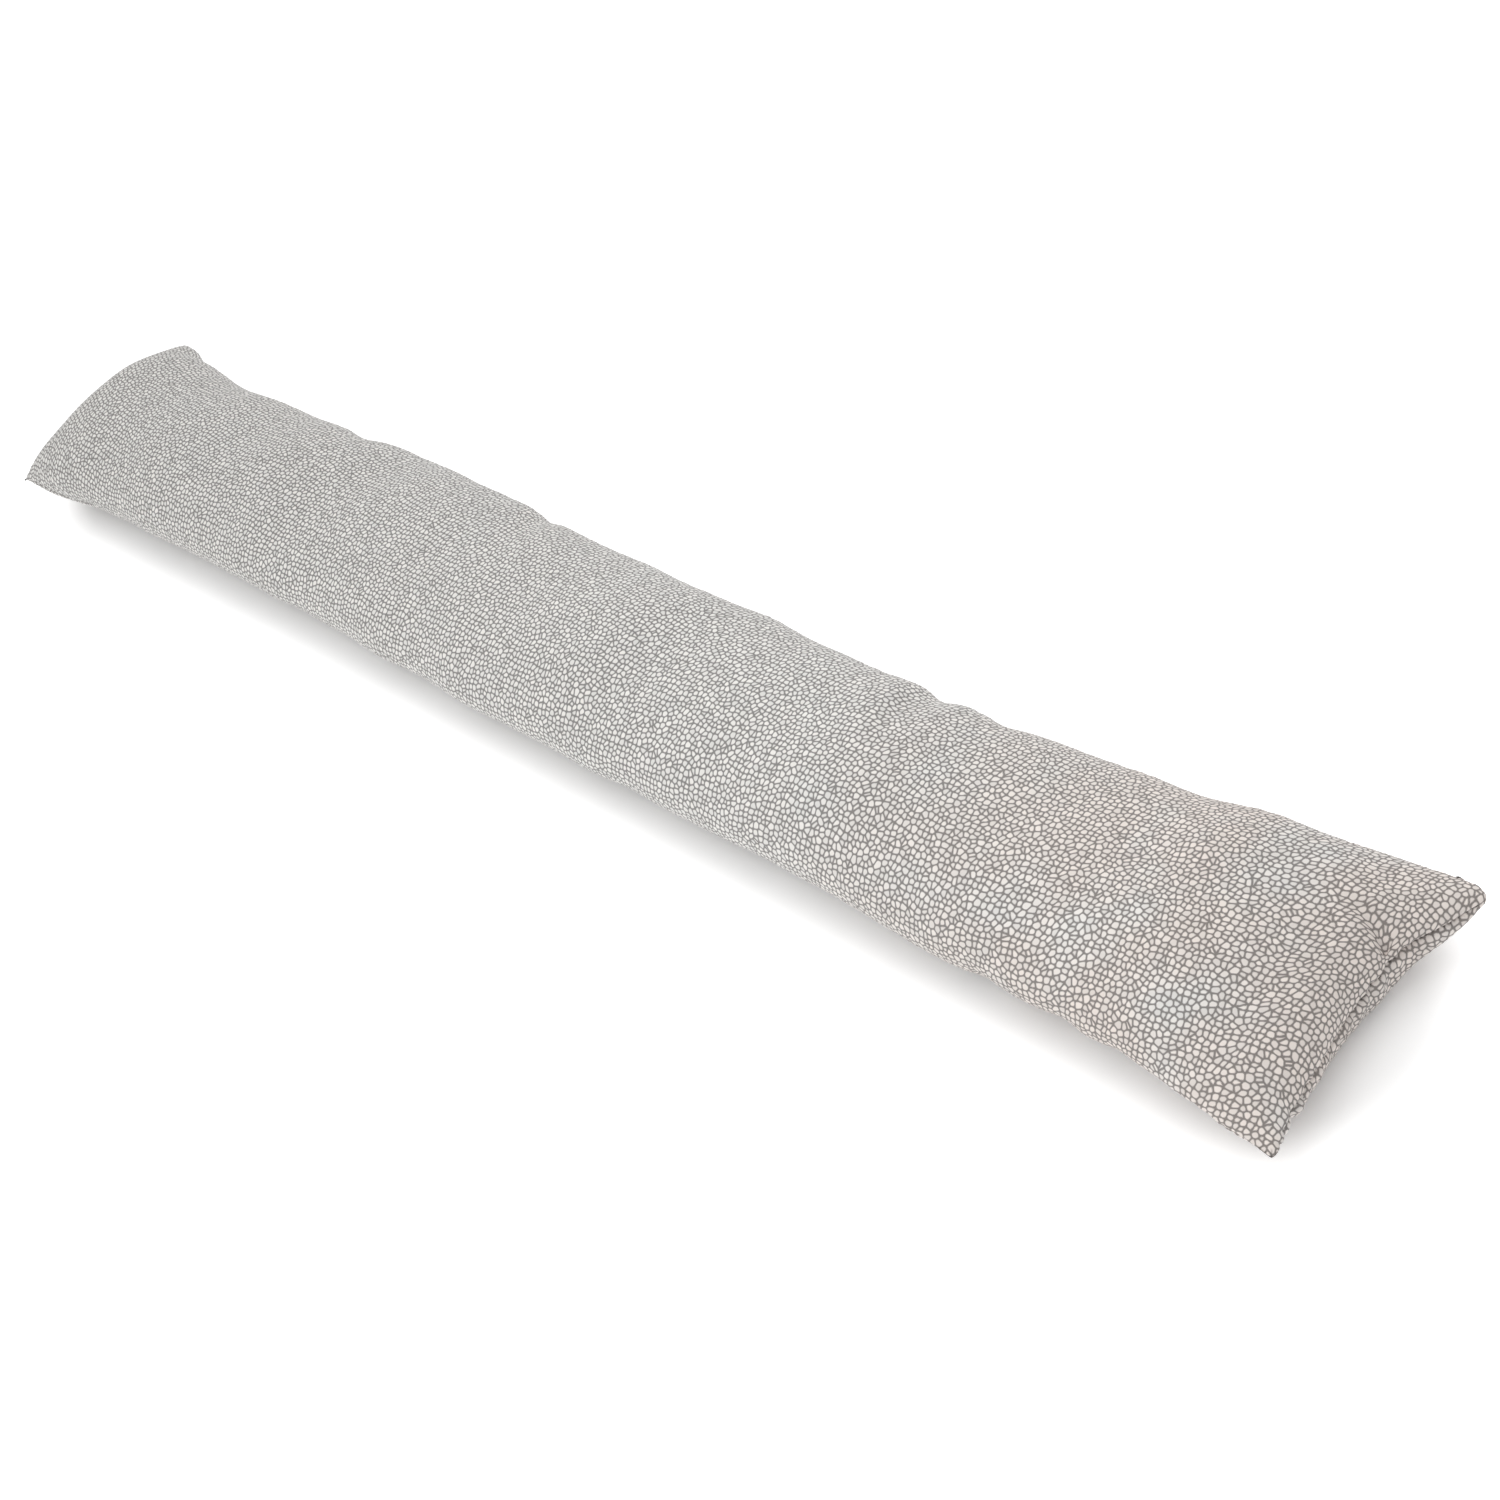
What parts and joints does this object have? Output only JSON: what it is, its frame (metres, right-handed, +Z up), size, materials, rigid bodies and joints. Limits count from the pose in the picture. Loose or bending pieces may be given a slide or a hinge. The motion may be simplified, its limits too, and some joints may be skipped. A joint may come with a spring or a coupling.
{
  "type": "draught excluder",
  "caption": "Long filled cloth cushion that lies along the foot of a door to keep draughts out, with knife-edge end seams and a small all-over pebble print.",
  "frame": {"origin": "centre of the cushion's box, at floor level, under the flat that it lies on", "axes": "+X along the cushion, from the left end seam to the right one; +Y across it, to the far long side; +Z up"},
  "size_m": [0.9844, 0.1511, 0.0696],
  "materials": {
    "cover": "matte printed cotton"
  },
  "bodies": {
    "root": {"cushion": "cover"}
  },
  "joints": []
}
